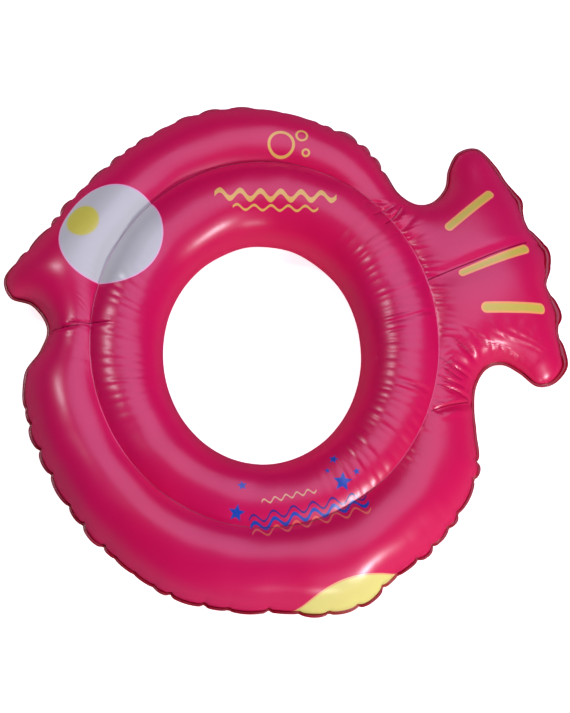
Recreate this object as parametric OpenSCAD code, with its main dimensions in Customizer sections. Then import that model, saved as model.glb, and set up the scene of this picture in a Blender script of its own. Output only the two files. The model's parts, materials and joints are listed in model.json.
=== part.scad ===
// Fish-shaped inflatable swim ring: two welded film sheets, an inner divider that makes two air
// chambers, and two push-in inflation valves on the back.
// Millimetres. The fish lies flat with its printed front up (+Z). Its tail points along +X and its
// nose along -X. The origin is on the floor, at the middle of the outline's length and width.

/* [Ring] */
// Half length of the body hole, along X
hole_rx = 119; // [110:1:125]
// Half width of the body hole, along Y
hole_ry = 137; // [128:1:142]
// Half length of the groove line where the divider is welded
web_rx = 205; // [200:1:208]
// Half width of the groove line
web_ry = 223; // [218:1:226]
// Half height of the divider between the two chambers
web_half = 38; // [32:1:40]
// Widest arch that the film blows up to before it flattens
arch_w = 90; // [84:1:94]
// Depth of the back below the weld plane, where it rests on the floor
rest_drop = 47; // [46:0.5:47.5]

/* [Film] */
// Thickness of the PVC film
film_t = 0.4; // [0.3:0.05:0.6]
// Width of the welded lip along the outline
lip_out = 4; // [2:0.5:5]
// Width of the welded lip that is turned inside at the hole
lip_in = 6; // [4:0.5:8]
// Thickness of the divider
web_t = 0.5; // [0.3:0.05:0.8]

/* [Valves] */
// Angle round the ring of the inner chamber's valve, in degrees
inner_valve_angle = 300; // [280:1:320]
// Outline row that the outer chamber's valve sits on
outer_valve_row = 46; // [45:1:48]
// Lean of a valve from straight down, up the flank of its tube, in degrees
valve_lean = 53; // [50:1:56]
// Radius of the valve's welded seat
seat_r = 16; // [15.5:0.5:17]
// Radius of the pocket that the valve is pushed into
pocket_r = 14.4; // [14.2:0.1:14.8]
// Outer radius of the valve's stem
stem_r = 6.5; // [6.2:0.1:6.8]
// Length of the stem
stem_len = 16; // [15:0.5:18]
// Travel of the stem from pushed in to popped out
stem_travel = 9; // [7:0.5:9]
// Distance of the plug's hinge from the stem's axis
plug_reach = 12.6; // [12.4:0.1:12.8]

/* [Hidden] */
$fn = 64;

web_centre = [2, 7];   // the groove sits a little above and behind the hole
arch_steps = 6;        // facets across each tube, from seam to groove
row_steps = 2;         // facets between two outline rows

// Outline rows, anticlockwise from the lower tail notch, measured from the hole's centre.
// Each is [angle on the groove line, cut edge x, cut edge y, shift x, shift y], and the shift is how
// far the section's half-way point leaves the straight line, so that it turns into a tail lobe.
// The cut edge is the outer edge of the welded lip, and the seam runs lip_out inside it.
outline_rows = [
    [-19,  254,  -68, -5,  -2],
    [-15,  257,  -40, -1,  -2],
    [-10,  270,  -18, -4,   5],
    [ -9,  290,  -12, 11,  17],
    [ -5,  310,  -22, 11,  21],   // lower tail lobe
    [  0,  331,  -38, 17,  20],
    [  3,  353,  -34, 10,  13],
    [  6,  370,  -13,  4,   5],
    [ 10,  367,   12, -2,   1],
    [ 11,  360,   31,  0,   3],
    [ 14,  366,   50,  0,   0],   // middle tail lobes
    [ 17,  360,   70,  0,   0],
    [ 20,  349,   90,  0,  -3],
    [ 23,  356,  114,  2,  -4],
    [ 25,  354,  138,  4,  -6],
    [ 27,  338,  156,  6,  -7],
    [ 29,  326,  174,  7,  -9],
    [ 31,  323,  202,  8, -12],   // upper tail lobe
    [ 33,  305,  226,  8, -16],
    [ 35,  292,  248, 11, -20],
    [ 36,  270,  270, 18, -19],
    [ 37,  245,  264, 26, -17],
    [ 39,  232,  241, 32,  -7],
    [ 40,  227,  216, 22,  -2],
    [ 44,  211,  197, 12,  -6],
    [ 48,  190,  194,  2,  -7],   // upper tail notch
    [ 51,  168,  209,  0,   0],
    [ 56,  149,  240,  0,   0],
    [ 63,  124,  271,  0,   0],
    [ 73,   84,  294,  0,   0],   // back of the fish
    [ 84,   32,  311,  0,   0],
    [ 96,  -26,  319,  0,   0],
    [107,  -83,  308,  0,   0],
    [118, -137,  282,  0,   0],
    [130, -187,  242,  0,   0],
    [142, -230,  197,  0,   0],
    [153, -266,  149,  0,   0],
    [162, -296,  112,  0,   2],
    [167, -312,   87,  2,   9],   // nose
    [170, -303,   63,  4,  12],
    [175, -276,   53, 10,  13],
    [180, -258,   26,  0,   4],   // mouth
    [185, -265,   -2,  0,   0],
    [191, -282,  -32,  0,   0],   // chin
    [200, -278,  -82,  0,   0],
    [212, -251, -145,  0,   0],
    [224, -211, -207,  0,   0],
    [237, -160, -257,  0,   0],
    [250, -103, -292,  0,   0],
    [262,  -45, -306,  0,   0],
    [273,   15, -309,  0,   0],
    [285,   76, -311,  0,   0],
    [293,  118, -300,  0,   0],
    [301,  158, -267,  0,   0],
    [311,  202, -232,  0,   0],
    [321,  236, -187,  0,   0],
    [331,  257, -140,  0,   0],
    [339,  256, -100,  0,   0]
];
row_count = len(outline_rows);
section_count = row_count * row_steps;

function unit(v) = v / norm(v);

// Row i of the closed outline, with its angle running on past a full turn
function row(i) =
    let (turn = floor(i / row_count), r = outline_rows[i - turn * row_count])
    [r[0] + 360 * turn, r[1], r[2], r[3], r[4]];

// Smooth curve through the rows; u counts rows
function row_at(u) =
    let (i = floor(u), f = u - i, a = row(i - 1), b = row(i), c = row(i + 1), d = row(i + 2))
    (2 * b + (c - a) * f + (2 * a - 5 * b + 4 * c - d) * f * f
        + (3 * b - a - 3 * c + d) * f * f * f) / 2;

function hole_point(angle) = [hole_rx * cos(angle), hole_ry * sin(angle)];
function web_point(angle) = web_centre + [web_rx * cos(angle), web_ry * sin(angle)];
function cut_edge(u) = let (r = row_at(u)) [r[1], r[2]];
function outline_normal(u) = let (d = unit(cut_edge(u + 0.2) - cut_edge(u - 0.2))) [d[1], -d[0]];
function seam_point(u) = cut_edge(u) - outline_normal(u) * lip_out;

// The middle of the fish's box, which is the origin
edge_x = [for (i = [0 : section_count - 1]) cut_edge(i / row_steps)[0]];
edge_y = [for (i = [0 : section_count - 1]) cut_edge(i / row_steps)[1]];
fish_mid = [max(edge_x) + min(edge_x), max(edge_y) + min(edge_y)] / 2;

// One arch of film from a seam (j = 0) to the groove (j = arch_steps): share of the way, height
function arch_slope(w) = (w * w + web_half * web_half) / (2 * w * w);
function arch_step(w, j) =
    let (k = arch_slope(w), a = acos(1 - 1 / k) * j / arch_steps)
    [k * (1 - cos(a)), w * k * sin(a)];
function arch_width(a, b) = min(norm(b - a), arch_w);

function inner_arch(u, j) =
    let (angle = row_at(u)[0], a = hole_point(angle), b = web_point(angle),
         s = arch_step(norm(b - a), j), p = a + (b - a) * s[0])
    [p[0], p[1], s[1]];

function outer_arch(u, j) =
    let (r = row_at(u), a = seam_point(u), b = web_point(r[0]), s = arch_step(arch_width(a, b), j),
         bend = (a + b) / 2 + 2 * [r[3], r[4]], t = s[0],
         p = a * (1 - t) * (1 - t) + bend * 2 * t * (1 - t) + b * t * t)
    [p[0], p[1], s[1]];

function raised(p, z) = [p[0], p[1], z];

// The film's outside face along one section, from the hole's turned-in lip to the outer lip
function outside_face(u) =
    let (angle = row_at(u)[0], a = hole_point(angle), inward = unit(web_point(angle) - a),
         o = seam_point(u), n = outline_normal(u))
    concat(
        [raised(a + inward * lip_in, 0), raised(a, 0)],
        [for (j = [1 : arch_steps]) inner_arch(u, j)],
        [for (j = [arch_steps - 1 : -1 : 1]) outer_arch(u, j)],
        [raised(o, film_t), raised(o + n * lip_out, film_t)]
    );

// The chamber side of the same section, one film thickness in
function chamber_face(i, faces) =
    let (n = len(faces), here = faces[i], next = faces[(i + 1) % n], last = faces[(i + n - 1) % n],
         m = len(here), crease = arch_steps + 1, u = i / row_steps, angle = row_at(u)[0],
         inward = unit(web_point(angle) - hole_point(angle)), o = outline_normal(u))
    [for (j = [0 : m - 1])
        j == 0 ? raised(here[0], film_t)
        : j == 1 ? raised(hole_point(angle) + inward * film_t, film_t)
        : j == crease ? here[j] - [0, 0, film_t]
        : j == m - 2 ? raised(seam_point(u) - o * film_t, 0)
        : j == m - 1 ? raised(here[j], 0)
        : here[j] + film_t * unit(cross(next[j] - last[j], here[j + 1] - here[j - 1]))
    ];

// Height on a sheet: the front keeps its arch, and the back is mirrored and rests flat
function placed(p, side, inset) =
    [p[0] - fish_mid[0], p[1] - fish_mid[1],
     rest_drop + (side > 0 ? p[2] : -min(p[2], rest_drop - inset))];

// The two faces of the film are split along the same diagonals, so that they stay parallel.
module sheet(side) {
    outside = [for (i = [0 : section_count - 1]) outside_face(i / row_steps)];
    chamber = [for (i = [0 : section_count - 1]) chamber_face(i, outside)];
    m = len(outside[0]);
    loop = 2 * m;
    points = [
        for (i = [0 : section_count - 1])
            for (j = [0 : loop - 1])
                j < m ? placed(outside[i][j], side, 0) : placed(chamber[i][loop - 1 - j], side, film_t)
    ];
    faces = [
        for (i = [0 : section_count - 1])
            for (j = [0 : loop - 1])
                let (p = (i + 1) % section_count, q = (j + 1) % loop,
                     a = i * loop + j, b = i * loop + q, c = p * loop + q, d = p * loop + j,
                     inner_film = (j < m ? j : loop - 2 - j) <= arch_steps,
                     pair = inner_film == (j < m) ? [[a, c, b], [a, d, c]] : [[a, d, b], [b, d, c]])
                for (f = pair) side > 0 ? f : [f[2], f[1], f[0]]
    ];
    polyhedron(points = points, faces = faces, convexity = 8);
}

// ---- Valves. A valve's own frame has its axis along +Z, out of the chamber, with z = 0 on the
// film, and +X up the flank of the tube. ----

seat_floor = -5;            // chamber end of the seat
seat_rim = 0.8;             // outer end of the seat
floor_t = 1.2;              // thickness of the seat's floor
collar_r = 7.6;             // outside of the soft collar
collar_gap = 0.1;           // running gap between the collar and the stem
bead_r = 8.2;               // stop bead on the stem's chamber end
bead_t = 1.2;
stem_top = 0.5;             // the pushed-in stem stands this far out
bore_mouth_r = 3.7;
bore_r = 2.9;
taper_len = 8;
strap_w = 5;
strap_t = 0.8;
hinge_z = 1.5;              // height of the plug's hinge
hinge_bead_r = 0.9;
hinge_gap = 0.15;
plug_tip_r = 2.5;
plug_mouth_r = 3.15;
plug_len = 5;
head_r = 5.2;
head_t = 1.4;
head_gap = 0.1;
flap_r = 4.4;
flap_t = 0.6;
flap_reach = 5.4;           // distance of the flap's hinge from the stem's axis
flap_lug_w = 3;
grip_len = 3;               // fingernail tab beyond the plug's head
grip_w = 4;
arm_drop = 0.4;             // underside of the plug's arm below its hinge
hook_t = 0.7;               // wall of the hook that holds the hinge bead
hook_open = 68;             // the hook's outer end, in degrees above the strap
hole_gap = 0.05;            // gap between the seat and the hole cut for it

// A valve's place: seam point, groove point
function valve_seam(inner) = inner ? hole_point(inner_valve_angle) : seam_point(outer_valve_row);
function valve_groove(inner) =
    web_point(inner ? inner_valve_angle : row_at(outer_valve_row)[0]);

module at_valve(inner) {
    seam = valve_seam(inner);
    across = unit(valve_groove(inner) - seam);
    w = arch_width(seam, valve_groove(inner));
    r = w * arch_slope(w);
    middle = seam + across * r - fish_mid;
    out = [-across[0] * sin(valve_lean), -across[1] * sin(valve_lean), -cos(valve_lean)];
    up = [-across[0] * cos(valve_lean), -across[1] * cos(valve_lean), sin(valve_lean)];
    side = cross(out, up);
    p = [middle[0], middle[1], rest_drop] + out * r;
    multmatrix([
        [up[0], side[0], out[0], p[0]],
        [up[1], side[1], out[1], p[1]],
        [up[2], side[2], out[2], p[2]]
    ]) children();
}

module valve_seat(inner) at_valve(inner) difference() {
    translate([0, 0, seat_floor]) cylinder(r = seat_r, h = seat_rim - seat_floor);
    translate([0, 0, seat_floor + floor_t]) cylinder(r = pocket_r, h = seat_rim - seat_floor);
    translate([0, 0, seat_floor - 1]) cylinder(r = collar_r, h = floor_t + 2);
}

module valve_collar(inner) at_valve(inner) translate([0, 0, seat_floor]) difference() {
    cylinder(r = collar_r, h = floor_t);
    translate([0, 0, -1]) cylinder(r = stem_r + collar_gap, h = floor_t + 2);
}

// The stem is turned about its axis: a tapered mouth for the plug and a bead that stops it
module valve_stem(inner) at_valve(inner) rotate_extrude() polygon([
    [bore_mouth_r, stem_top],
    [stem_r, stem_top],
    [stem_r, stem_top - stem_len + bead_t],
    [bead_r, stem_top - stem_len + bead_t],
    [bead_r, stem_top - stem_len],
    [bore_r, stem_top - stem_len],
    [bore_r, stem_top - taper_len]
]);

module valve_check_flap(inner) at_valve(inner) {
    top = stem_top - stem_len - head_gap;
    translate([0, 0, top - flap_t]) cylinder(r = flap_r, h = flap_t);
    translate([flap_r - 1, -flap_lug_w / 2, top - flap_t])
        cube([flap_reach - flap_r + 1, flap_lug_w, flap_t]);
    translate([flap_reach, flap_lug_w / 2, top - flap_t / 2]) rotate([90, 0, 0])
        cylinder(r = flap_t / 2, h = flap_lug_w);
}

module valve_strap(inner) at_valve(inner) {
    difference() {
        translate([stem_r - 1, -strap_w / 2, stem_top - strap_t])
            cube([plug_reach + hinge_bead_r - stem_r + 1, strap_w, strap_t]);
        translate([0, 0, stem_top - 3]) cylinder(r = stem_r, h = 6);
    }
    translate([plug_reach - hinge_bead_r / 2, -strap_w / 2, stem_top])
        cube([hinge_bead_r, strap_w, hinge_z - stem_top]);
    translate([plug_reach, strap_w / 2, hinge_z]) rotate([90, 0, 0])
        cylinder(r = hinge_bead_r, h = strap_w);
}

module valve_plug(inner) at_valve(inner) {
    low = stem_top + head_gap;
    hook_r = hinge_bead_r + hinge_gap;
    translate([0, 0, low - plug_len]) cylinder(r1 = plug_tip_r, r2 = plug_mouth_r, h = plug_len);
    translate([0, 0, low]) cylinder(r = head_r, h = head_t);
    translate([-head_r - grip_len, -grip_w / 2, low + head_t / 2])
        cube([grip_len + 2, grip_w, head_t / 2]);
    difference() {
        union() {
            translate([head_r - 1, -strap_w / 2, hinge_z - arm_drop])
                cube([plug_reach - head_r, strap_w, strap_t]);
            translate([plug_reach, strap_w / 2, hinge_z]) rotate([90, 0, 0])
                cylinder(r = hook_r + hook_t, h = strap_w);
        }
        translate([plug_reach, strap_w, hinge_z]) rotate([90, 0, 0])
            cylinder(r = hook_r, h = 2 * strap_w);
        translate([plug_reach, 0, hinge_z]) rotate([0, -hook_open, 0])
            translate([-4, -strap_w, -8]) cube([8, 2 * strap_w, 8]);
        translate([plug_reach - 4, -strap_w, hinge_z - 4 - 2 * arm_drop]) cube([8, 2 * strap_w, 4]);
    }
}

// ---- Nodes ----

module pierced_for_valves() difference() {
    children();
    for (inner = [true, false])
        at_valve(inner) translate([0, 0, -12]) cylinder(r = seat_r + hole_gap, h = 24);
}

module front_sheet() color("deeppink") sheet(1);
module back_sheet() color("mediumvioletred") pierced_for_valves() sheet(-1);

module divider_web() color("crimson") {
    groove = [for (i = [0 : section_count - 1]) web_point(row_at(i / row_steps)[0]) - fish_mid];
    height = 2 * (web_half - film_t);
    translate([0, 0, rest_drop - height / 2]) linear_extrude(height) difference() {
        polygon([for (p = groove) p + unit(p + fish_mid - web_centre) * web_t / 2]);
        polygon([for (p = groove) p - unit(p + fish_mid - web_centre) * web_t / 2]);
    }
}

module inner_valve_seat() color("hotpink") valve_seat(true);
module inner_valve_collar() color("lightpink") valve_collar(true);
module inner_valve_stem() color("pink") valve_stem(true);
module inner_valve_check_flap() color("mistyrose") valve_check_flap(true);
module inner_valve_strap() color("pink") valve_strap(true);
module inner_valve_plug() color("lavenderblush") valve_plug(true);
module outer_valve_seat() color("hotpink") valve_seat(false);
module outer_valve_collar() color("lightpink") valve_collar(false);
module outer_valve_stem() color("pink") valve_stem(false);
module outer_valve_check_flap() color("mistyrose") valve_check_flap(false);
module outer_valve_strap() color("pink") valve_strap(false);
module outer_valve_plug() color("lavenderblush") valve_plug(false);

front_sheet();
back_sheet();
divider_web();
inner_valve_seat();
inner_valve_collar();
inner_valve_stem();
inner_valve_check_flap();
inner_valve_strap();
inner_valve_plug();
outer_valve_seat();
outer_valve_collar();
outer_valve_stem();
outer_valve_check_flap();
outer_valve_strap();
outer_valve_plug();
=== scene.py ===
"""Looks for a fish-shaped inflatable swim ring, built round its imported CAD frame.

The film sheets are drawn in millimetres from the hole's centre, as the CAD outline is, and moved
into the frame at the end. Blender's own unit is the metre.
"""

import json
import math

import bpy
import numpy as np
from mathutils import Matrix, Vector
from mathutils.bvhtree import BVHTree


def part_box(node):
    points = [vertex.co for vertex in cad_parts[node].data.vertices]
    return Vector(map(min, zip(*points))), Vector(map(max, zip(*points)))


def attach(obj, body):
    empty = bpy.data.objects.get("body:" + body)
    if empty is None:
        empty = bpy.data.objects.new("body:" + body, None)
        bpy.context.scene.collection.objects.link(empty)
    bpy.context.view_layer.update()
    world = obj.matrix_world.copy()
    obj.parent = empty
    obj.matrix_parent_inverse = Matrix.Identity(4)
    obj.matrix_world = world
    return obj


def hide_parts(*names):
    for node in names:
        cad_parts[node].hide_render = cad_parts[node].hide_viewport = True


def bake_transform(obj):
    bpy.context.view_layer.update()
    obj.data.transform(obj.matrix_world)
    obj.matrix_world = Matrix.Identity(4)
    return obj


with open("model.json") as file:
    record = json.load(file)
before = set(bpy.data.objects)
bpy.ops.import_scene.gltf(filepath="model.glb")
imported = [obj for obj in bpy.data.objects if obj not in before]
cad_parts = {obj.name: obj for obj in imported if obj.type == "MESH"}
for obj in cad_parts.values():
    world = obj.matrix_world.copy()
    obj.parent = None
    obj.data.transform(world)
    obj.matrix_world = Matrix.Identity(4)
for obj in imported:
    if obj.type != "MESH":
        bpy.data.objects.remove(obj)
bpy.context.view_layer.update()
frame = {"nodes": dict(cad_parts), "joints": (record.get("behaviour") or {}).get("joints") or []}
MM = 0.001
SEED = 7

# ---- Sizes, in millimetres, as in the CAD model ----

HOLE_RADII = np.array([119.0, 137.0])
GROOVE_RADII = np.array([205.0, 223.0])
GROOVE_CENTRE = np.array([2.0, 7.0])
WEB_HALF = 38.0
FILM = 0.4
LIP = 4.0
LIP_INSIDE = 6.0
WELD_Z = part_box("front_sheet")[0][2] / MM
FISH_MID = np.array([29.0, 4.0])  # the frame's origin, from the hole's centre

# Outline rows, anticlockwise from the lower tail notch: angle on the groove line, cut edge x and y,
# and how far the section's half-way point leaves the straight line, where it does
OUTLINE_ROWS = np.array([(row + [0, 0])[:5] for row in (
    [-19, 254, -68, -5, -2], [-15, 257, -40, -1, -2], [-10, 270, -18, -4, 5], [-9, 290, -12, 11, 17],
    [-5, 310, -22, 11, 21], [0, 331, -38, 17, 20], [3, 353, -34, 10, 13], [6, 370, -13, 4, 5],
    [10, 367, 12, -2, 1], [11, 360, 31, 0, 3], [14, 366, 50], [17, 360, 70], [20, 349, 90, 0, -3],
    [23, 356, 114, 2, -4], [25, 354, 138, 4, -6], [27, 338, 156, 6, -7], [29, 326, 174, 7, -9],
    [31, 323, 202, 8, -12], [33, 305, 226, 8, -16], [35, 292, 248, 11, -20], [36, 270, 270, 18, -19],
    [37, 245, 264, 26, -17], [39, 232, 241, 32, -7], [40, 227, 216, 22, -2], [44, 211, 197, 12, -6],
    [48, 190, 194, 2, -7], [51, 168, 209], [56, 149, 240], [63, 124, 271], [73, 84, 294],
    [84, 32, 311], [96, -26, 319], [107, -83, 308], [118, -137, 282], [130, -187, 242],
    [142, -230, 197], [153, -266, 149], [162, -296, 112, 0, 2], [167, -312, 87, 2, 9],
    [170, -303, 63, 4, 12], [175, -276, 53, 10, 13], [180, -258, 26, 0, 4], [185, -265, -2],
    [191, -282, -32], [200, -278, -82], [212, -251, -145], [224, -211, -207], [237, -160, -257],
    [250, -103, -292], [262, -45, -306], [273, 15, -309], [285, 76, -311], [293, 118, -300],
    [301, 158, -267], [311, 202, -232], [321, 236, -187], [331, 257, -140], [339, 256, -100],
)], float)
ROW_COUNT = len(OUTLINE_ROWS)

# Mesh density: sections round the fish, steps across the inner and the outer tube
SECTIONS = 900
INNER_STEPS = 15
OUTER_STEPS = 36
END_STEP = 0.15  # the first and last step across a tube, as a share of an ordinary one
SOLVER_TURNS = 300
SOLVER_ACCURACY = 1e-12
CALMING_TURNS = 60
TAIL_EASE = 0.62  # how much less the wide tail swells than the ring
GATHER_RADIUS = 165  # of the circle that the fine gathers are spaced round
LIP_EXTRA = 2.5  # how much wider the lip is along the tail, before the scallops
SCALLOP_REACH = 11  # sections on each side that a scallop is measured from
VALVE_CALM = 20  # radius of smooth film round a valve
FLOOR_PRESS = 0.6  # softness of the flat where the back lies on the floor
SEAM_COLUMN = 2
GROOVE_COLUMN = SEAM_COLUMN + OUTER_STEPS
NORMAL_SPREAD = [(-2, 1), (-1, 2), (0, 3), (1, 2), (2, 1)]  # shares of the neighbouring sections

# Stretches of the fish, in outline rows: where each starts, is full, begins to fade and ends
WIDE_LIP_ROWS = (5, 8, 18, 20)
TAIL_ROWS = (7, 8, 17, 18)
BACK_ROWS = (26, 27.5, 36.4, 37.4)
BELLY_ROWS = (43.2, 44.2, 56.2, 57.4)
# and in degrees
INNER_BY_TAIL = (-72, -48, 38, 66)
INNER_BY_MOUTH = (148, 160, 200, 216)
OUTER_BY_TAIL = (-58, -30, 30, 58)
OUTER_BY_MOUTH = (150, 160, 186, 196)

# ---- Valves, in each valve's own frame: z out of the chamber, x up the flank ----

HINGE_X = 12.6
HINGE_Z = 1.5
FLANGE = 18.0
POCKET_OUT = 16.0
POCKET_IN = 14.4
HOLE_CUT = 16.2
CUTTER_BORE = 0.5
COLLAR_OUT = 8.0
COLLAR_WALL = 0.25
COLLAR_TOP = -3.9
COLLAR_END = -12.0
COLLAR_FOOT = 6.7  # its radius where it meets the stem
STEM_OUT = 6.5
STEM_BORE = 2.9
STEM_TOP = 0.5
RIDGE_OUT = 6.75
BEAD_OUT = 8.2
STRAP_Z = 0.1
STRAP_BEND = 0.75
STRAP_THICK = 0.66
FILM_REACH = 9.0  # from a valve's own plane up and down, to look for its film and cut it
CORNER_STEPS = 4
BAND_SIDES = 16
TURNED_SIDES = 72
SEAT_SIDES = 96
PLUG_SIDES = 64
SEAT_CORNERS = [  # radius, z, rounding of the corner
    (COLLAR_OUT, -5, 0.3), (POCKET_OUT, -5, 0.8), (POCKET_OUT, 0.05, 0), (FLANGE, 0.05, 0.15),
    (FLANGE, 0.6, 0.35), (POCKET_IN, 0.9, 0.5), (POCKET_IN, -3.8, 0.9), (COLLAR_OUT, -3.8, 0.25),
]
STEM_CORNERS = [  # from the bead at the inner end over both grip ridges to the mouth
    (STEM_BORE, -15.5, 0.2), (BEAD_OUT, -15.5, 0.4), (BEAD_OUT, -14.3, 0.4), (STEM_OUT, -14.3, 0.4),
    (STEM_OUT, -3.6, 0.1), (RIDGE_OUT, -3.3, 0.1), (STEM_OUT, -3.0, 0.1),
    (STEM_OUT, -2.2, 0.1), (RIDGE_OUT, -1.9, 0.1), (STEM_OUT, -1.6, 0.1),
    (STEM_OUT, STEM_TOP, 0.3), (5.9, STEM_TOP, 0), (5.7, 0.3, 0), (5.4, 0.3, 0), (5.2, STEM_TOP, 0),
    (3.7, STEM_TOP, 0.35), (STEM_BORE, -7.5, 0.5),
]
PLUG_TIP = -4.4
PLUG_DISH = 1.7
PLUG_PROFILE = [  # radius and z, from the tip to the shallow dish in the head
    (1.6, PLUG_TIP), (2.5, -3.9), (2.75, -2.4), (2.68, -2.1), (2.9, -1.6), (3.15, 0.6), (4.9, 0.6),
    (5.2, 0.85), (5.2, 1.65), (4.9, 2.0), (4.2, 2.0), (3.6, 1.75), (1.2, PLUG_DISH),
]
TAB_ROWS = [  # x, z, width, thickness
    (-4.4, 1.45, 3.4, 0.7), (-5.6, 1.5, 3.9, 0.75), (-6.6, 1.62, 4.2, 0.7), (-7.6, 1.8, 3.9, 0.7),
    (-8.2, 1.95, 2.8, 0.5),
]


# ---- Print on the front film: places and sizes in millimetres on the flat film ----

EYE = ((-182, 131), 60.5)
PUPIL = ((-216, 146), 20)
BELLY = ((120, -351), 80)
STAR_WAIST = 0.45
DASHES = [  # start, end, half width at each end
    ((223, 148), (277, 197), 3.2, 3.4),
    ((237, 90), (318, 126), 2.2, 3.6),
    ((264, 47), (335, 51), 4.2, 4.2),
]
STARS = [  # centre, radius, turn in degrees
    ((-30, -200), 10, 10), ((-24, -169), 6, -8), ((90, -164), 11.5, 4),
    ((80, -137), 6, 12), ((73, -151), 3.5, 0), ((106, -152), 4.5, -14),
]
BUBBLES = [  # centre, radius, half thickness of the ring
    ((20, 250), 15, 1.7), ((45, 262), 6.5, 1.3), ((50, 240), 4, 1.2),
]


# ---- Small helpers ----

def colour(r, g, b):
    """A colour given as 0-255 screen values, as the shader's linear one."""
    screen = [c / 255 for c in (r, g, b)]
    return [c / 12.92 if c <= 0.04045 else ((c + 0.055) / 1.055)**2.4 for c in screen] + [1.0]


def smooth(low, high, x):
    """0 below low, 1 above high, and an S curve between."""
    t = np.clip((np.asarray(x, float) - low) / (high - low), 0, 1)
    return t * t * (3 - 2 * t)


def between(x, start, full, fading, end):
    """1 from full to fading, and 0 before start and after end."""
    return smooth(start, full, x) * (1 - smooth(fading, end, x))


def unit(v):
    return v / np.maximum(np.linalg.norm(v, axis=-1, keepdims=True), 1e-9)


def angle_gap(a, b):
    """Difference of two angles in degrees, from -180 to 180."""
    return (np.asarray(a) - b + 180) % 360 - 180


# ---- Colours, finish, lamps and camera ----

FILM_PINK = colour(214, 8, 86)
FILM_PINK_WARM = colour(217, 9, 81)
# painted highlight on the groove's weld, at the sides of the ring
WELD_HIGHLIGHT_PINK = colour(240, 130, 170)
# the outer lip's doubled film, deepened with painted shade
LIP_SHADE = colour(190, 70, 115)
# painted shade in the middles of folds, and in the groove's line at the top and bottom of the ring
CREASE_SHADE_RED = colour(120, 3, 38)
VALVE_PINK = colour(228, 128, 160)
PLUG_PINK = colour(238, 160, 184)
FLAP_PALE = colour(238, 200, 212)
EYE_WHITE = colour(206, 209, 199)
EYE_RIM = colour(245, 190, 215)
PUPIL_YELLOW = colour(218, 212, 84)
PALE_YELLOW = colour(232, 222, 122)
LIGHT_ORANGE = colour(245, 180, 120)
DASH_YELLOW = colour(214, 196, 78)
DASH_RIM = colour(255, 180, 100)
STAR_BLUE = colour(25, 75, 175)
GOLD = colour(238, 190, 90)
INK_VIOLET = colour(70, 40, 130)
INK_ORANGE = colour(235, 110, 90)
INK_BEIGE = colour(230, 180, 130)
WAVES = [  # start, end, height, ripples, half width, colour
    ((-60, 181), (86, 180), 5, 6, 3.4, GOLD),
    ((-38, 166), (64, 165), 3, 5, 1.5, GOLD),
    ((-14, -216), (120, -186), 4.5, 6, 2.2, STAR_BLUE),
    ((-16, -208), (118, -178), 4.5, 6, 1.3, INK_VIOLET),
    ((-12, -224), (122, -194), 4.5, 6, 1.3, INK_ORANGE),
    ((-2, -188), (60, -174), 2.5, 5, 1.0, INK_BEIGE),
]
ROUGHNESS = 0.29
COAT = 0.16
SPECULAR = 0.5
PALE_FROM = 110.0  # from the hole's centre sideways to where the groove's painted shade turns into a painted highlight
PALE_TO = 175.0
CREASE_CORE = 0.2  # half width of the darkest part of a crease's painted shade
CREASE_WIDTH = 1.4
FLOOR_WHITE = colour(236, 236, 236)
FLOOR_GLOW = 0.84
FLOOR_HALF = 4.0
ROOM_GREY = colour(42, 42, 46)
SKY_TINT = (1.0, 0.9, 1.42)
BOX_TINT = (1.0, 0.97, 1.06)
LAMPS = [  # name, direction from the ring, distance and size in metres, power in watts, tint
    ("front_box", (0.18, -0.95, 0.28), 2.0, (0.4, 0.1), 4.5, BOX_TINT),
    ("right_box", (0.66, -0.75, 0.5), 2.0, (0.22, 0.16), 18, BOX_TINT),
    ("left_strip", (-0.73, 0.27, 1.0), 2.0, (0.09, 0.5), 8, BOX_TINT),
    ("overhead", (0.3, 0.36, 1.0), 2.3, (2.1, 2.1), 26, SKY_TINT),
    ("front_fill", (0.4, -0.8, 0.7), 2.6, (1.2, 1.2), 3.5, SKY_TINT),
]
CAMERA_LENS = 67.32
CAMERA_SENSOR = 36.0
CAMERA_BACK = (-0.0506, -0.2588, 0.9646)  # from the target towards the camera
CAMERA_TARGET = (-1.97, -8.59, 47.0)
CAMERA_FAR = 1.6  # metres


# ---- The outline and its sections ----

def row_at(u):
    """The outline rows as one smooth closed curve; u counts rows."""
    u = np.asarray(u, float)
    i = np.floor(u).astype(int)
    f = (u - i)[..., None]

    def row(k):
        turned = OUTLINE_ROWS[k % ROW_COUNT].copy()
        turned[..., 0] += 360 * (k // ROW_COUNT)
        return turned

    a, b, c, d = (row(i + k) for k in range(-1, 3))
    square, cube = 2 * a - 5 * b + 4 * c - d, 3 * b - a - 3 * c + d
    return (2 * b + (c - a) * f + square * f**2 + cube * f**3) / 2


def even_sections():
    """Row positions spaced evenly along the cut edge, and the edge's running length."""
    fine = np.linspace(0, ROW_COUNT, ROW_COUNT * 100 + 1)
    edge = row_at(fine)[:, 1:3]
    run = np.concatenate([[0], np.cumsum(np.linalg.norm(np.diff(edge, axis=0), axis=1))])
    length = run[-1]
    along = np.arange(SECTIONS) * length / SECTIONS
    return np.interp(along, run, fine), along, length


def ellipse(centre, radii, degrees):
    t = np.radians(degrees)
    return centre + radii * np.stack([np.cos(t), np.sin(t)], -1)


def arch_shares(width, steps):
    """Shares of the way from seam to groove that space an arch's points evenly along the film."""
    even = np.linspace(0, 1, steps - 1)
    film = np.concatenate([[0, END_STEP * even[1]], even[1:-1], [1 - END_STEP * even[1], 1]])
    k = (width**2 + WEB_HALF**2) / (2 * width**2)
    a = np.arccos(1 - 1 / k)[:, None] * film
    return k[:, None] * (1 - np.cos(a))


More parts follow.
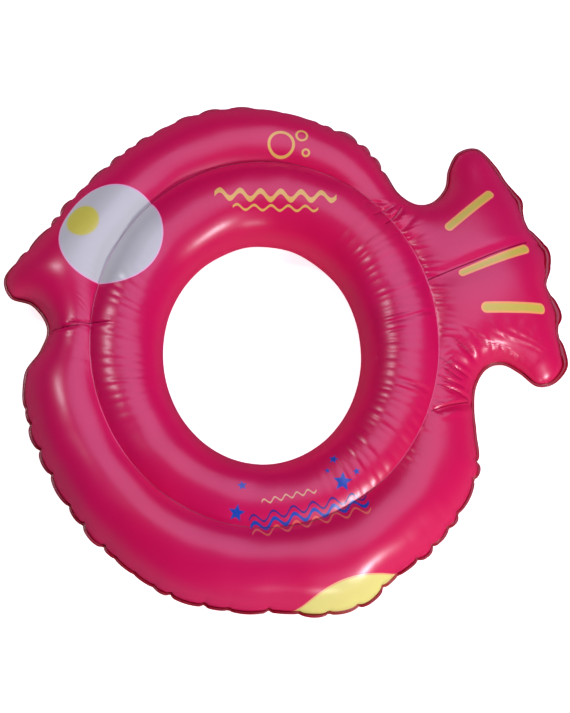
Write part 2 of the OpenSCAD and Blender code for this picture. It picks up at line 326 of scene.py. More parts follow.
def untangled(plan, share):
    """Evens out the points between seam and groove, where sections fan round a tight corner."""
    part = (share[:, 1:-1] - share[:, :-2]) / (share[:, 2:] - share[:, :-2])
    freedom = smooth(0.02, 0.3, share[:, 1:-1])
    for _ in range(CALMING_TURNS):
        beside = (np.roll(plan, 1, 0) + np.roll(plan, -1, 0))[:, 1:-1] / 2
        between = plan[:, :-2] * (1 - part) + plan[:, 2:] * part
        plan[:, 1:-1] += freedom * (0.35 * (beside - plan[:, 1:-1]) + 0.15 * (between - plan[:, 1:-1]))
    return plan


# ---- Blowing up the outer chamber: height squared solves a Poisson equation over the plan ----

def doubled_area(a, b, c):
    u, v = b - a, c - a
    return np.abs(u[..., 0] * v[..., 1] - u[..., 1] * v[..., 0])


def cotangent(a, b, c):
    """Cotangent of the angle at a."""
    return ((b - a) * (c - a)).sum(-1) / np.maximum(doubled_area(a, b, c), 1e-6)


def plan_weights(plan):
    """Edge weights and point areas of the plan grid, closed round the fish."""
    after = np.roll(plan, -1, 0)
    a, b, c, d = plan[:, :-1], after[:, :-1], after[:, 1:], plan[:, 1:]
    along, across, slant, area = (np.zeros(plan.shape[:2]) for _ in range(4))
    along[:, :-1] += cotangent(c, a, b)
    along[:, 1:] += cotangent(a, c, d)
    across[:, :-1] += np.roll(cotangent(a, b, c), 1, 0) + cotangent(c, a, d)
    slant[:, :-1] += cotangent(b, a, c) + cotangent(d, a, c)
    first, second = doubled_area(a, b, c) / 2, doubled_area(a, c, d) / 2
    area[:, :-1] += (first + second + np.roll(first, 1, 0)) / 3
    area[:, 1:] += (second + np.roll(first + second, 1, 0)) / 3
    return along / 2, across / 2, slant / 2, area


def blown_height(plan, push):
    """Heights over the plan grid, from 0 at the seam (column 0) to WEB_HALF at the groove."""
    along, across, slant, area = plan_weights(plan)

    def stiff(f):
        d = along * (f - np.roll(f, -1, 0))
        out = d - np.roll(d, 1, 0)
        d = across[:, :-1] * (f[:, :-1] - f[:, 1:])
        out[:, :-1] += d
        out[:, 1:] -= d
        d = slant[:, :-1] * (f[:, :-1] - np.roll(f, -1, 0)[:, 1:])
        out[:, :-1] += d
        out[:, 1:] -= np.roll(d, 1, 0)
        return out

    diagonal = along + np.roll(along, 1, 0) + across
    diagonal[:, 1:] += across[:, :-1]
    diagonal += slant
    diagonal[:, 1:] += np.roll(slant, 1, 0)[:, :-1]
    last = plan.shape[1] - 1

    def sweep(r):
        """Solves each section on its own, which is nearly the whole equation."""
        keep, x = np.zeros_like(r), np.zeros_like(r)
        for j in range(1, last):
            m = diagonal[:, j] + across[:, j - 1] * keep[:, j - 1]
            keep[:, j] = -across[:, j] / m
            x[:, j] = (r[:, j] + across[:, j - 1] * x[:, j - 1]) / m
        for j in range(last - 2, 0, -1):
            x[:, j] -= keep[:, j] * x[:, j + 1]
        return x

    f = np.zeros(plan.shape[:2])
    f[:, last] = WEB_HALF**2
    rest = 2 * push * area - stiff(f)
    rest[:, [0, last]] = 0
    z = sweep(rest)
    p = z.copy()
    rz = (rest * z).sum()
    enough = rz * SOLVER_ACCURACY
    for _ in range(SOLVER_TURNS):
        q = stiff(p)
        q[:, [0, last]] = 0
        a = rz / (p * q).sum()
        f += a * p
        rest -= a * q
        z = sweep(rest)
        new = (rest * z).sum()
        if new < enough:
            break
        p = z + new / rz * p
        rz = new
    return np.sqrt(np.maximum(f, 0))


# ---- The smooth blown-up shape, before its folds ----

def bulged(edge, out):
    """How far each scallop of the edge stands out from the edge's general run."""
    around = range(-SCALLOP_REACH, SCALLOP_REACH + 1)
    general = sum(np.roll(edge, k, 0) for k in around) / len(around)
    return ((edge - general) * out).sum(1)


def smooth_shape():
    """The plan, heights and seams of the blown-up front, section by section."""
    u, along, length = even_sections()
    rows = row_at(u)
    edge = rows[:, 1:3]
    ahead, behind = row_at(u + 0.2)[:, 1:3], row_at(u - 0.2)[:, 1:3]
    run = unit(ahead - behind)
    out = np.stack([run[:, 1], -run[:, 0]], -1)
    extra = between(u, *WIDE_LIP_ROWS) * np.clip(LIP_EXTRA + bulged(edge, out), 0, 2 * LIP_EXTRA)
    lip = (LIP + extra)[:, None]
    seam = edge - out * lip
    hole = ellipse(0, HOLE_RADII, rows[:, 0])
    groove = ellipse(GROOVE_CENTRE, GROOVE_RADII, rows[:, 0])

    width = np.linalg.norm(groove - hole, axis=1)
    share = arch_shares(width, INNER_STEPS)
    inner = hole[:, None] + (groove - hole)[:, None] * share[..., None]
    inner_z = np.sqrt(width[:, None]**2 * share * (1 - share) + WEB_HALF**2 * share)

    share = arch_shares(np.linalg.norm(groove - seam, axis=1), OUTER_STEPS)[..., None]
    bend = (seam + groove) / 2 + 2 * rows[:, 3:5]
    outer = seam[:, None] * (1 - share)**2 + bend[:, None] * 2 * share * (1 - share)
    outer = untangled(outer + groove[:, None] * share**2, share)
    push = 1 - TAIL_EASE * smooth(120, 240, outer[..., 0])
    outer_z = blown_height(outer, push)
    return {
        "u": u, "along": along, "length": length, "angle": rows[:, 0] % 360, "out": out, "lip": lip,
        "inner": np.dstack([inner, inner_z]), "outer": np.dstack([outer, outer_z]),
    }


def film_distance(points):
    """Distance along the film from each section's first point."""
    steps = np.linalg.norm(np.diff(points, axis=1), axis=2)
    return np.concatenate([np.zeros((len(points), 1)), np.cumsum(steps, 1)], 1)


def outward(points):
    """Unit normals of a front grid whose columns run towards the hole, evened out where sections bunch."""
    along = np.roll(points, -1, 0) - np.roll(points, 1, 0)
    patch = np.cross(along, np.gradient(points, axis=1))
    return unit(sum(np.roll(patch, i, 0) * share for i, share in NORMAL_SPREAD))


# ---- Folds and puckers of the film, in millimetres off the smooth shape ----

# Pinched folds: points along the fold in millimetres from the hole's centre, depth, width, and how
# dark the painted shade in its middle is. A narrow fold is steeper on its left. One that is wider than
# WIDE_FOLD is very gentle on its left and has no shoulders.
FOLDS = [
    # Above the middle dash
    ([(322, 136), (285, 120), (247, 103), (216, 90), (196, 82)], 5.0, 6.5, 0.85),
    # Inner tube, by the tail
    ([(150, 27), (176, 35), (203, 45)], 1.3, 2.6, 0),
    ([(148, 15), (160, 19)], 0.8, 2.2, 0),
    ([(155, -42), (180, -49), (203, -62)], 1.4, 2.6, 0),
    ([(158, -52), (176, -60)], 0.8, 2.4, 0),
    ([(168, -72), (196, -92)], 0.7, 3.0, 0),
    ([(160, -84), (190, -108)], 0.7, 3.2, 0),
    # Mouth
    ([(-262, 19), (-240, 18), (-216, 19)], 3.4, 2.2, 0.8),
    ([(-228, 23), (-205, 22), (-180, 22)], 2.2, 2.0, 0.6),
    # Lower tail junction
    ([(196, -78), (220, -70), (250, -62)], 4.0, 3.4, 0.7),
    ([(205, -46), (228, -52), (250, -60)], 2.4, 2.8, 0.5),
    ([(208, -14), (226, -24), (246, -33)], 2.2, 2.8, 0.4),
    ([(212, -26), (236, -38)], 2.0, 2.6, 0.5),
    ([(206, -36), (240, -46)], 2.0, 2.6, 0.3),
    ([(222, 12), (240, 0), (250, -10)], 2.0, 2.6, 0.3),
    ([(240, 22), (256, 12), (266, 2)], 2.0, 2.6, 0),
    # Upper tail notch
    ([(118, 176), (133, 181), (147, 180)], 2.2, 2.6, 0),
    ([(131, 160), (146, 170), (158, 179)], 2.6, 2.8, 0.4),
    ([(146, 150), (160, 164), (168, 176)], 3.0, 2.8, 0.6),
    ([(160, 140), (172, 152), (182, 168)], 1.6, 2.8, 0),
    ([(168, 128), (188, 138)], 0.8, 2.6, 0),
    # Lower left rim
    ([(-150, -300), (-138, -276)], 0.9, 3.0, 0),
]
WIDE_FOLD = 5.0
SHOULDER = 0.3  # height beside a narrow fold, as a share of its depth
SLACK_WAVES = 14
SLACK_HEIGHT = 0.13
# The fan of folds over the lower tail notch
FAN_CENTRE = (287, -52)
FAN_START = 52  # the folds' distance from the centre
FAN_WIDTH = 4.0
FAN = [  # direction, length, depth
    (50, 26, 1.8), (60, 30, 2.4), (70, 34, 2.8), (81, 36, 2.8), (93, 36, 2.6), (106, 34, 2.0),
    (121, 34, 1.3), (135, 34, 1.9), (149, 34, 1.9),
]


def fan_folds():
    """Folds that fan out over the lower tail notch."""
    centre = np.array(FAN_CENTRE)
    for degrees, length, depth in FAN:
        ray = ellipse(0, 1, degrees)
        yield [centre + ray * FAN_START, centre + ray * (FAN_START + length)], depth, FAN_WIDTH, 0


def knots(rng, length, low, high):
    """Places along a closed line, from low to high apart."""
    gaps = rng.uniform(low, high, int(length / low))
    count = int(np.searchsorted(np.cumsum(gaps), length))
    places = np.concatenate([[0], np.cumsum(gaps[:count])])
    return places * length / places[-1]


def between_knots(places, along):
    """The knot before each place, the share of the way to the next knot, and the gap between the two."""
    k = np.clip(np.searchsorted(places, along, side="right") - 1, 0, len(places) - 2)
    gap = places[k + 1] - places[k]
    return k, (along - places[k]) / gap, gap


def puckered(u):
    """How strongly the outer weld gathers: fully along the back and belly, a little on the tail."""
    return between(u, *BACK_ROWS) + between(u, *BELLY_ROWS) + 0.25 * between(u, *TAIL_ROWS)


def weld_puckers(shape, rng):
    """The outer weld's gathers, section by section: bulge, lip wave, crease depth and crease reach."""
    places = knots(rng, shape["length"], 17, 46)
    k, t, gap = between_knots(places, shape["along"])
    share = puckered(shape["u"])
    size = rng.uniform(0.8, 4.4, len(places))
    bulge = share * (size[k] * np.sin(np.pi * t)**0.7 - 0.6 * size.mean())
    lean = rng.uniform(0.6, 2.2, len(places)) * rng.choice([-1, 1], len(places))
    wave = share * lean[k] * np.sin(np.pi * t)
    nearest = np.where(t < 0.5, k, k + 1) % (len(places) - 1)
    apart = np.minimum(t, 1 - t) * gap
    depth = share * rng.uniform(0.2, 2.2, len(places))[nearest] * np.exp(-(apart / 2.8)**2)
    reach = rng.uniform(6, 22, len(places))[nearest]
    return [part[:, None] for part in (bulge, wave, depth, reach)]


def gathers(shape, film, rng, spacing, slant):
    """Fine ridges across a tube, spacing apart and up to about a millimetre high."""
    round_way = 2 * np.pi * GATHER_RADIUS
    along = np.radians(shape["angle"])[:, None] * GATHER_RADIUS + slant * (film / film[:, -1:] - 0.5)
    places = knots(rng, round_way, *spacing)
    k, t, _ = between_knots(places, along % round_way)
    size = rng.uniform(0.25, 1.25, len(places))
    return size[k] * np.sin(np.pi * t)**0.8 - 0.6 * size.mean()


def inner_gathers(shape, film, rng):
    """Gathers of the inner tube: strong beside the tail, weaker behind the mouth, faint elsewhere."""
    angle = shape["angle"]
    turn = angle_gap(angle, 0)
    calm = 1 - 0.6 * np.exp(-(angle_gap(angle, -12) / 9)**2) - 0.45 * smooth(2, 14, turn)
    strength = 0.08 + between(turn, *INNER_BY_TAIL) * calm + 0.6 * between(angle, *INNER_BY_MOUTH)
    share = film / film[:, -1:]
    reach = smooth(0.3, 0.52, share) * (1 - 0.45 * smooth(0.66, 0.95, share))
    return gathers(shape, film, rng, spacing=(7, 13.5), slant=14) * strength[:, None] * reach


def outer_gathers(shape, film, rng):
    """Short gathers of the outer tube, close to the groove beside the tail and behind the mouth."""
    angle = shape["angle"]
    strength = between(angle_gap(angle, 0), *OUTER_BY_TAIL) + 0.5 * between(angle, *OUTER_BY_MOUTH)
    reach = between(film[:, -1:] - film, 0, 4, 10, 32)
    return gathers(shape, film, rng, spacing=(5, 8.5), slant=-6) * strength[:, None] * reach * 0.8


def fold_depth(plan):
    """How far the pinched folds pull the film in, with a low shoulder on each side of a narrow one."""
    total = np.zeros(plan.shape[:2])
    for points, depth, width, _ in [*FOLDS, *fan_folds()]:
        points = np.array(points, float)
        gap = np.full(plan.shape[:2], 1e6)
        share = np.zeros(plan.shape[:2])
        left = np.zeros(plan.shape[:2], bool)
        for i in range(len(points) - 1):
            run = points[i + 1] - points[i]
            t = np.clip(((plan - points[i]) @ run) / (run @ run), 0, 1)
            aside = plan - points[i] - t[..., None] * run
            d = np.linalg.norm(aside, axis=-1)
            closer = d < gap
            left = np.where(closer, run[0] * aside[..., 1] > run[1] * aside[..., 0], left)
            gap = np.where(closer, d, gap)
            share = np.where(closer, (i + t) / (len(points) - 1), share)
        taper = np.sin(np.pi * np.clip(share, 0.04, 0.96))**0.6
        wide = width > WIDE_FOLD
        side = width * np.where(left, 3.5 if wide else 0.55, 1.3)
        shoulder = 0 if wide else SHOULDER * np.exp(-((gap - 2.1 * side) / (1.1 * side))**2)
        total += depth * taper * (np.exp(-(gap / side)**2) - shoulder)
    return total


def slack(plan, rng):
    """A faint low unevenness of the whole film."""
    total = np.zeros(plan.shape[:2])
    for _ in range(SLACK_WAVES):
        angle = rng.uniform(0, 2 * np.pi)
        wave = 2 * np.pi / rng.uniform(38, 110) * np.array([math.cos(angle), math.sin(angle)])
        total += SLACK_HEIGHT * np.sin(plan @ wave + rng.uniform(0, 2 * np.pi))
    return total


def film_middle(shape, puckers, rng, valves=()):
    """A film's middle surface: columns from the cut edge over both tubes to the lip in the hole."""
    outer, inner = shape["outer"].copy(), shape["inner"].copy()
    over, under = film_distance(outer), film_distance(inner)
    faces_out, faces_in = outward(outer), -outward(inner)

    bulge, wave, depth, reach = puckers
    push = bulge * np.exp(-over / 16) - depth * np.exp(-(over / reach)**2)
    push += outer_gathers(shape, over, rng) - fold_depth(outer[..., :2]) * smooth(0, 8, over)
    push += slack(outer[..., :2], rng) * smooth(0, 20, over)
    push *= smooth(0, 3, over[:, -1:] - over) * quiet(outer, valves)
    outer += faces_out * push[..., None]
    outer[..., 2] += wave * np.exp(-over / 5)

    push = inner_gathers(shape, under, rng) - fold_depth(inner[..., :2]) + slack(inner[..., :2], rng)
    push *= smooth(0, 22, under) * smooth(0, 3, under[:, -1:] - under) * quiet(inner, valves)
    inner += faces_in * push[..., None]

    out = np.dstack([shape["out"][:, None], np.zeros((SECTIONS, 1))])
    lip = outer[:, :1] + out * (shape["lip"] * [1.0, 0.5])[..., None]
    lip[..., 2] += wave * [[0.7, 0.35]]
    middle = np.concatenate([lip, outer, inner[:, -2::-1]], 1)
    middle[:, :, 2] += FILM / 2
    inward = unit(shape["inner"][:, -1] - shape["inner"][:, 0])
    inward[:, 2] = 0
    turned_in = middle[:, -1:] + inward[:, None] * LIP_INSIDE * np.array([[0.5], [1.0]])
    return np.concatenate([middle, turned_in], 1)


def quiet(points, valves):
    """0 round each valve of the back, where the film is held by the seat, and 1 elsewhere."""
    calm = np.ones(points.shape[:2])
    for valve in valves:
        place = valve["p"] / MM + np.append(FISH_MID, -WELD_Z)
        gap = np.linalg.norm(points * [1, 1, -1] - place, axis=-1)
        calm *= smooth(VALVE_CALM, 2 * VALVE_CALM, gap)
    return calm


# ---- Film meshes ----

def print_places(middle):
    """Where each point of a sheet lies on the flat printed film: as in the plan from the groove to the
    top of each tube, and from there on as far along as the film runs."""
    flat = middle[..., :2].copy()
    outwards, inwards = range(GROOVE_COLUMN, 0, -1), range(GROOVE_COLUMN, middle.shape[1] - 1)
    for columns, step in ((outwards, -1), (inwards, 1)):
        ahead = None
        for j in columns:
            move = middle[:, j + step] - middle[:, j]
            plan = np.linalg.norm(move[:, :2], axis=1, keepdims=True)
            falling = smooth(0, 1, -move[:, 2:] / np.maximum(plan, 0.1) * 2)
            reach = plan + falling * (np.linalg.norm(move, axis=1, keepdims=True) - plan)
            ahead = unit(move[:, :2]) if ahead is None else np.where(plan > 0.3, unit(move[:, :2]), ahead)
            flat[:, j + step] = flat[:, j] + ahead * reach
    return flat


def mesh_object(name, points, faces, uv=None, marks=None):
    """A smooth-shaded mesh from millimetre points in the frame, with a flat map and point values."""
    mesh = bpy.data.meshes.new(name)
    mesh.from_pydata((np.asarray(points) * MM).tolist(), [], [[int(k) for k in face] for face in faces])
    mesh.polygons.foreach_set("use_smooth", np.ones(len(mesh.polygons), bool))
    if uv is not None:
        corner = np.zeros(len(mesh.loops), int)
        mesh.loops.foreach_get("vertex_index", corner)
        layer = mesh.uv_layers.new(name="print")
        layer.data.foreach_set("uv", uv[corner].ravel().astype(np.float32))
    for key, value in (marks or {}).items():
        mesh.attributes.new(key, "FLOAT", "POINT").data.foreach_set("value", value.astype(np.float32))
    mesh.update()
    obj = bpy.data.objects.new(name, mesh)
    bpy.context.scene.collection.objects.link(obj)
    return obj


def grid_faces(rows, columns, close_rows=True, close_columns=True):
    """Quads of a grid of points, which closes on itself unless told otherwise."""
    i, j = np.indices((rows if close_rows else rows - 1, columns if close_columns else columns - 1))
    after, beside = (i + 1) % rows, (j + 1) % columns
    corners = [i * columns + j, after * columns + j, after * columns + beside, i * columns + beside]
    return np.stack(corners, -1).reshape(-1, 4)


def film_sheet(name, middle, side):
    """One closed sheet of film, FILM thick, from its middle surface. Each section is a loop, along one
    face and back along the other. side is 1 for the front and -1 for the back, which is mirrored in z,
    the rim's waves too, so that the two lips part or cross where the rim waves."""
    def looped(face, other):
        return np.concatenate([face, other[:, ::-1]], 1).reshape(-1, *face.shape[2:])

    over = film_distance(middle)
    to_groove = np.abs(over - over[:, GROOVE_COLUMN:GROOVE_COLUMN + 1])
    from_seam = over - over[:, SEAM_COLUMN:SEAM_COLUMN + 1]
    marks = {"groove_gap": looped(to_groove, to_groove), "seam_gap": looped(from_seam, from_seam)}
    flat = print_places(middle) * MM
    half = outward(middle) * FILM / 2
    points = looped(middle + half, middle - half) * [1, 1, side] + [-FISH_MID[0], -FISH_MID[1], WELD_Z]
    quads = grid_faces(len(middle), 2 * middle.shape[1])[:, ::side]
    return mesh_object(name, points, quads, looped(flat, flat), marks)


def rested(middle):
    """Presses the sheet softly flat where it lies on the floor."""
    out = middle.copy()
    low = WELD_Z - FILM / 2
    out[..., 2] = low - FLOOR_PRESS * np.logaddexp(0, (low - out[..., 2]) / FLOOR_PRESS)
    return out


# ---- Shader wiring ----

class Shader:
    """The node tree of one material, wired by short calls; a value may be a number, a colour or a socket."""

    def __init__(self, name):
        self.material = bpy.data.materials.new(name)
        self.material.use_nodes = True
        self.tree = self.material.node_tree
        self.tree.nodes.clear()
        self.surface = self.tree.nodes.new("ShaderNodeBsdfPrincipled")
        output = self.tree.nodes.new("ShaderNodeOutputMaterial")
        self.tree.links.new(self.surface.outputs["BSDF"], output.inputs["Surface"])

    def feed(self, socket, value):
        if isinstance(value, bpy.types.NodeSocket):
            self.tree.links.new(value, socket)
        else:
            socket.default_value = value

    def set(self, **values):
        for name, value in values.items():
            self.feed(self.surface.inputs[name.replace("_", " ")], value)

    def node(self, kind, *values, **settings):
        """A new node with its settings, whose first inputs are fed with the values."""
        node = self.tree.nodes.new("ShaderNode" + kind)
        for name, setting in settings.items():
            setattr(node, name, setting)
        for socket, value in zip(node.inputs, values):
            self.feed(socket, value)
        return node

    def math(self, operation, *values):
        return self.node("Math", *values, operation=operation).outputs[0]

    def vector(self, operation, *values):
        node = self.node("VectorMath", *values, operation=operation)
        return node.outputs["Value" if operation in ("LENGTH", "DOT_PRODUCT") else "Vector"]

    def scaled(self, vector, factor):
        node = self.node("VectorMath", vector, operation="SCALE")
        self.feed(node.inputs["Scale"], factor)
        return node.outputs[0]

    def ramp(self, value, low, high, start=0.0, end=1.0):
        """A smooth step from start to end while value goes from low to high."""
        node = self.node("MapRange", value, low, high, start, end, interpolation_type="SMOOTHSTEP")
        return node.outputs["Result"]

    def mix(self, share, a, b):
        node = self.node("Mix", share, data_type="RGBA")
        self.feed(node.inputs[6], a)
        self.feed(node.inputs[7], b)
        return node.outputs[2]

    def flat_map(self):
        """The print's flat map, in millimetres from the hole's centre."""
        return self.scaled(self.node("UVMap", uv_map="print").outputs[0], 1 / MM)

    def mark(self, name):
        return self.node("Attribute", attribute_name=name).outputs["Fac"]

    def place(self):
        return self.node("TexCoord").outputs["Object"]

    def noise(self, vector, scale, detail=2.0):
        node = self.node("TexNoise", vector)
        self.feed(node.inputs["Scale"], scale)
        self.feed(node.inputs["Detail"], detail)
        return node.outputs[0]

    def bump(self, height, strength, distance):
        node = self.node("Bump", strength, distance)
        self.feed(node.inputs["Height"], height)
        return node.outputs[0]

    # Distances on the print, in millimetres, negative inside the shape

    def disc(self, at, centre, radius):
        gap = self.vector("SUBTRACT", at, (*centre, 0.0))
        return self.math("SUBTRACT", self.vector("LENGTH", gap), radius)

    def bar(self, at, start, end, radius=0.0, end_radius=0.0):
        run = (end[0] - start[0], end[1] - start[1], 0.0)
        from_start = self.vector("SUBTRACT", at, (*start, 0.0))
        share = self.vector("DOT_PRODUCT", from_start, tuple(c / (run[0]**2 + run[1]**2) for c in run))
        share = self.math("MINIMUM", self.math("MAXIMUM", share, 0.0), 1.0)
        nearest = self.scaled(run, share)
        gap = self.vector("LENGTH", self.vector("SUBTRACT", from_start, nearest))
        swell = self.math("MULTIPLY", share, end_radius - radius)
        return self.math("SUBTRACT", gap, self.math("ADD", swell, radius))

    def star(self, at, centre, radius, turn):
        """A five-pointed star whose first point leans turn degrees from straight up."""
        gap = self.vector("SUBTRACT", at, (*centre, 0.0))
        parts = self.node("SeparateXYZ", gap)
        fifth = 2 * math.pi / 5
        angle = self.math("ARCTAN2", parts.outputs["X"], parts.outputs["Y"])
        angle = self.math("ADD", angle, 4 * math.pi - math.radians(turn))
        angle = self.math("ABSOLUTE", self.math("SUBTRACT", self.math("MODULO", angle, fifth), fifth / 2))
        angle = self.math("SUBTRACT", fifth / 2, angle)
        far = self.vector("LENGTH", gap)
        x = self.math("MULTIPLY", far, self.math("COSINE", angle))
        y = self.math("MULTIPLY", far, self.math("SINE", angle))
        dent = (STAR_WAIST * radius * math.cos(fifth / 2), STAR_WAIST * radius * math.sin(fifth / 2))
        slope = math.hypot(radius - dent[0], dent[1])
        side = (dent[1] / slope, (radius - dent[0]) / slope)
        reach = self.math("ADD", self.math("MULTIPLY", x, side[0]), self.math("MULTIPLY", y, side[1]))
        return self.math("SUBTRACT", reach, side[0] * radius)

    def wave(self, at, start, end, height, ripples, radius):
        """A wavy line from start to end."""
        run = Vector((end[0] - start[0], end[1] - start[1], 0))
        length = run.length
        run.normalize()
        from_start = self.vector("SUBTRACT", at, (*start, 0.0))
        x = self.vector("DOT_PRODUCT", from_start, tuple(run))
        y = self.vector("DOT_PRODUCT", from_start, (-run.y, run.x, 0.0))
        phase = self.math("MULTIPLY", x, 2 * math.pi * ripples / length)
        crest = self.math("MULTIPLY", self.math("SINE", phase), height)
        away = self.math("SUBTRACT", self.math("ABSOLUTE", self.math("SUBTRACT", y, crest)), radius)
        past = self.math("SUBTRACT", self.math("ABSOLUTE", self.math("SUBTRACT", x, length / 2)), length / 2)
        return self.math("MAXIMUM", away, past)

    def painted(self, base, distance, fill, border=None, width=0.0, soft=0.35):
        """base with a shape painted on, and a border outside it."""
        if border is not None:
            base = self.painted(base, self.math("SUBTRACT", distance, width), border, soft=soft)
        return self.mix(self.ramp(distance, -soft, soft, 1.0, 0.0), base, fill)


# ---- Materials ----

def painted_crease_shade(shader):
    """How much painted shade each place gets in the middle of a fold, where the film closes on itself."""
    at = shader.flat_map()
    crease_shade = 0.0
    for points, _, _, painted_shade in FOLDS:
        for start, end in zip(points, points[1:]) if painted_shade else ():
            line = shader.ramp(shader.bar(at, start, end), CREASE_CORE, CREASE_WIDTH, painted_shade, 0.0)
            crease_shade = shader.math("MAXIMUM", crease_shade, line)
    return crease_shade


def edged(shader, base):
    """The welds: darker doubled film with painted shade on the outer lip, and a line at the groove that is
    painted shade at the top and bottom of the ring and a pale painted highlight at its sides."""
    seam = shader.mark("seam_gap")
    doubled = shader.mix(1.0, base, LIP_SHADE)
    doubled.node.blend_type = "MULTIPLY"
    # the lip: doubled film, darkened further with painted shade
    base = shader.mix(shader.ramp(seam, -0.6, 0.9, 1.0, 0.0), base, doubled)
    groove = shader.ramp(shader.mark("groove_gap"), 0.5, 1.1, 0.55, 0.0)
    pale = shader.mix(0.5, base, WELD_HIGHLIGHT_PINK)
    aside = shader.math("ABSOLUTE", shader.vector("DOT_PRODUCT", shader.flat_map(), (1.0, 0.0, 0.0)))
    # the groove's line: painted shade at the top and bottom of the ring, a painted highlight at its sides
    line = shader.mix(shader.ramp(aside, PALE_FROM, PALE_TO), CREASE_SHADE_RED, pale)
    return shader.mix(groove, base, line)


def printed(shader, base):
    """The fish's markings and ornaments on the front film."""
    at = shader.flat_map()
    base = shader.painted(base, shader.disc(at, *BELLY), PALE_YELLOW, LIGHT_ORANGE, 2.2)
    base = shader.painted(base, shader.disc(at, *EYE), EYE_WHITE, EYE_RIM, 1.6)
    base = shader.painted(base, shader.disc(at, *PUPIL), PUPIL_YELLOW, soft=2.0)
    for start, end, *radii in DASHES:
        base = shader.painted(base, shader.bar(at, start, end, *radii), DASH_YELLOW, DASH_RIM, 2.4)
    for centre, radius, turn in STARS:
        base = shader.painted(base, shader.star(at, centre, radius, turn), STAR_BLUE, soft=0.5)
    for centre, radius, thick in BUBBLES:
        ring = shader.math("SUBTRACT", shader.math("ABSOLUTE", shader.disc(at, centre, radius)), thick)
        base = shader.painted(base, ring, GOLD)
    for start, end, height, ripples, radius, paint in WAVES:
        base = shader.painted(base, shader.wave(at, start, end, height, ripples, radius), paint)
    return base


def film_material(name, with_print):
    """The welded film, with the fish's print and painted shade in the middles of its folds if it is the
    front.
    """
    shader = Shader(name)
    at = shader.place()
    base = shader.mix(shader.ramp(shader.noise(at, 5.0, 1.0), 0.35, 0.65), FILM_PINK, FILM_PINK_WARM)
    if with_print:
        base = printed(shader, base)
    base = edged(shader, base)
    shader.set(Roughness=ROUGHNESS, Coat_Weight=COAT, Coat_Roughness=0.5, Specular_IOR_Level=SPECULAR)
    shader.set(Normal=shader.bump(shader.noise(at, 40.0, 1.0), 0.12, 0.0016))
    if with_print:
        # painted shade darkens the middles of the folds, which also lose their gloss
        crease_shade = painted_crease_shade(shader)
        base = shader.mix(crease_shade, base, CREASE_SHADE_RED)
        shader.set(Coat_Weight=shader.ramp(crease_shade, 0.0, 1.0, COAT, 0.0))
        shader.set(Specular_IOR_Level=shader.ramp(crease_shade, 0.0, 1.0, SPECULAR, 0.0))
    shader.set(Base_Color=base)
    return shader.material


def soft_pvc(name, paint, roughness):
    """Cloudy moulded PVC of the valves."""
    shader = Shader(name)
    at = shader.place()
    cloud = shader.ramp(shader.noise(at, 120.0), 0.3, 0.7)
    pale = [0.8 * c + 0.2 for c in paint[:3]] + [1.0]
    shader.set(Base_Color=shader.mix(cloud, paint, pale))
    shader.set(Roughness=shader.ramp(shader.noise(at, 400.0), 0.3, 0.7, roughness - 0.05, roughness + 0.05))
    shader.set(Normal=shader.bump(shader.noise(at, 1500.0, 2.0), 0.1, 0.0002))
    shader.set(Subsurface_Weight=0.3, Subsurface_Radius=(0.004, 0.002, 0.002), Subsurface_Scale=1.0)
    return shader.material


def coat(obj, material):
    """Gives a piece this material and no other."""
    obj.data.materials.clear()
    obj.data.materials.append(material)


# ---- Valves ----

def valve_frames():
    """Each valve's place in metres and its directions, worked out from its joints."""
    joints = {joint["name"]: joint for joint in frame["joints"]}
    valves = []
    for name in ("inner", "outer"):
        hinge = joints[name + "_plug_hinge"]
        out = unit(np.array(joints[name + "_stem_slide"]["axis"], float))
        side = unit(np.array(hinge["axis"], float))
        up = np.cross(side, out)
        place = np.array(hinge["pos_m"], float) - (up * HINGE_X + out * HINGE_Z) * MM
        valves.append({"name": name, "p": place, "turn": np.stack([up, side, out], 1)})
    return valves


def from_valve(valve, points):
    """Points of a valve's own frame, as millimetres in the shared frame."""
    return np.asarray(points, float) @ valve["turn"].T + valve["p"] / MM


def rounded(corners):
    """A profile from rows of radius and z, each with the rounding of its own corner."""
    points = np.array(corners, float)[:, :2]
    path = []
    for i, (_, _, radius) in enumerate(corners):
        corner, before, after = points[i], points[i - 1], points[(i + 1) % len(points)]
        to_before, to_after = unit(before - corner), unit(after - corner)
        half_angle = math.acos(np.clip(to_before @ to_after, -1, 1)) / 2
        reach = radius / max(math.tan(half_angle), 1e-6)
        start, end = corner + to_before * reach, corner + to_after * reach
        for t in np.linspace(0, 1, CORNER_STEPS) if radius else [0.0]:
            path.append((1 - t)**2 * start + 2 * t * (1 - t) * corner + t**2 * end)
    return np.array(path)


def lathe_points(profile, turns):
    """A closed profile of (radius, z) points turned about z, as a ring of points for each turn."""
    angle = np.arange(turns)[:, None] * 2 * np.pi / turns
    r, z = profile[:, 0], profile[:, 1]
    return np.dstack([np.cos(angle) * r, np.sin(angle) * r, np.broadcast_to(z, (turns, len(z)))])


def lathed(name, valve, points):
    """A piece from the rings of points that lathe_points gives."""
    return mesh_object(name, from_valve(valve, points.reshape(-1, 3)), grid_faces(*points.shape[:2]))


def film_under(valve, film, radius, angle):
    """Height of the film's outside face over a valve's own plane, at each radius and angle."""
    out = Vector(valve["turn"][:, 2])
    heights = np.zeros(radius.shape)
    for index in np.ndindex(heights.shape):
        r, a = radius[index], angle[index]
        start = from_valve(valve, [r * math.cos(a), r * math.sin(a), FILM_REACH]) * MM
        hit = film.ray_cast(Vector(start), -out)
        heights[index] = FILM_REACH - hit[3] / MM
    return heights


def seat(valve, film):
    """The welded seat: a flange that follows the film, and the pocket that the valve is pushed into."""
    points = lathe_points(rounded(SEAT_CORNERS), SEAT_SIDES)
    x, y, z = np.moveaxis(points, -1, 0)
    under = film_under(valve, film, np.maximum(np.hypot(x, y), POCKET_IN), np.arctan2(y, x))
    points[..., 2] += under * smooth(-3.2, 0, z)
    return lathed(valve["name"] + "_seat", valve, points)


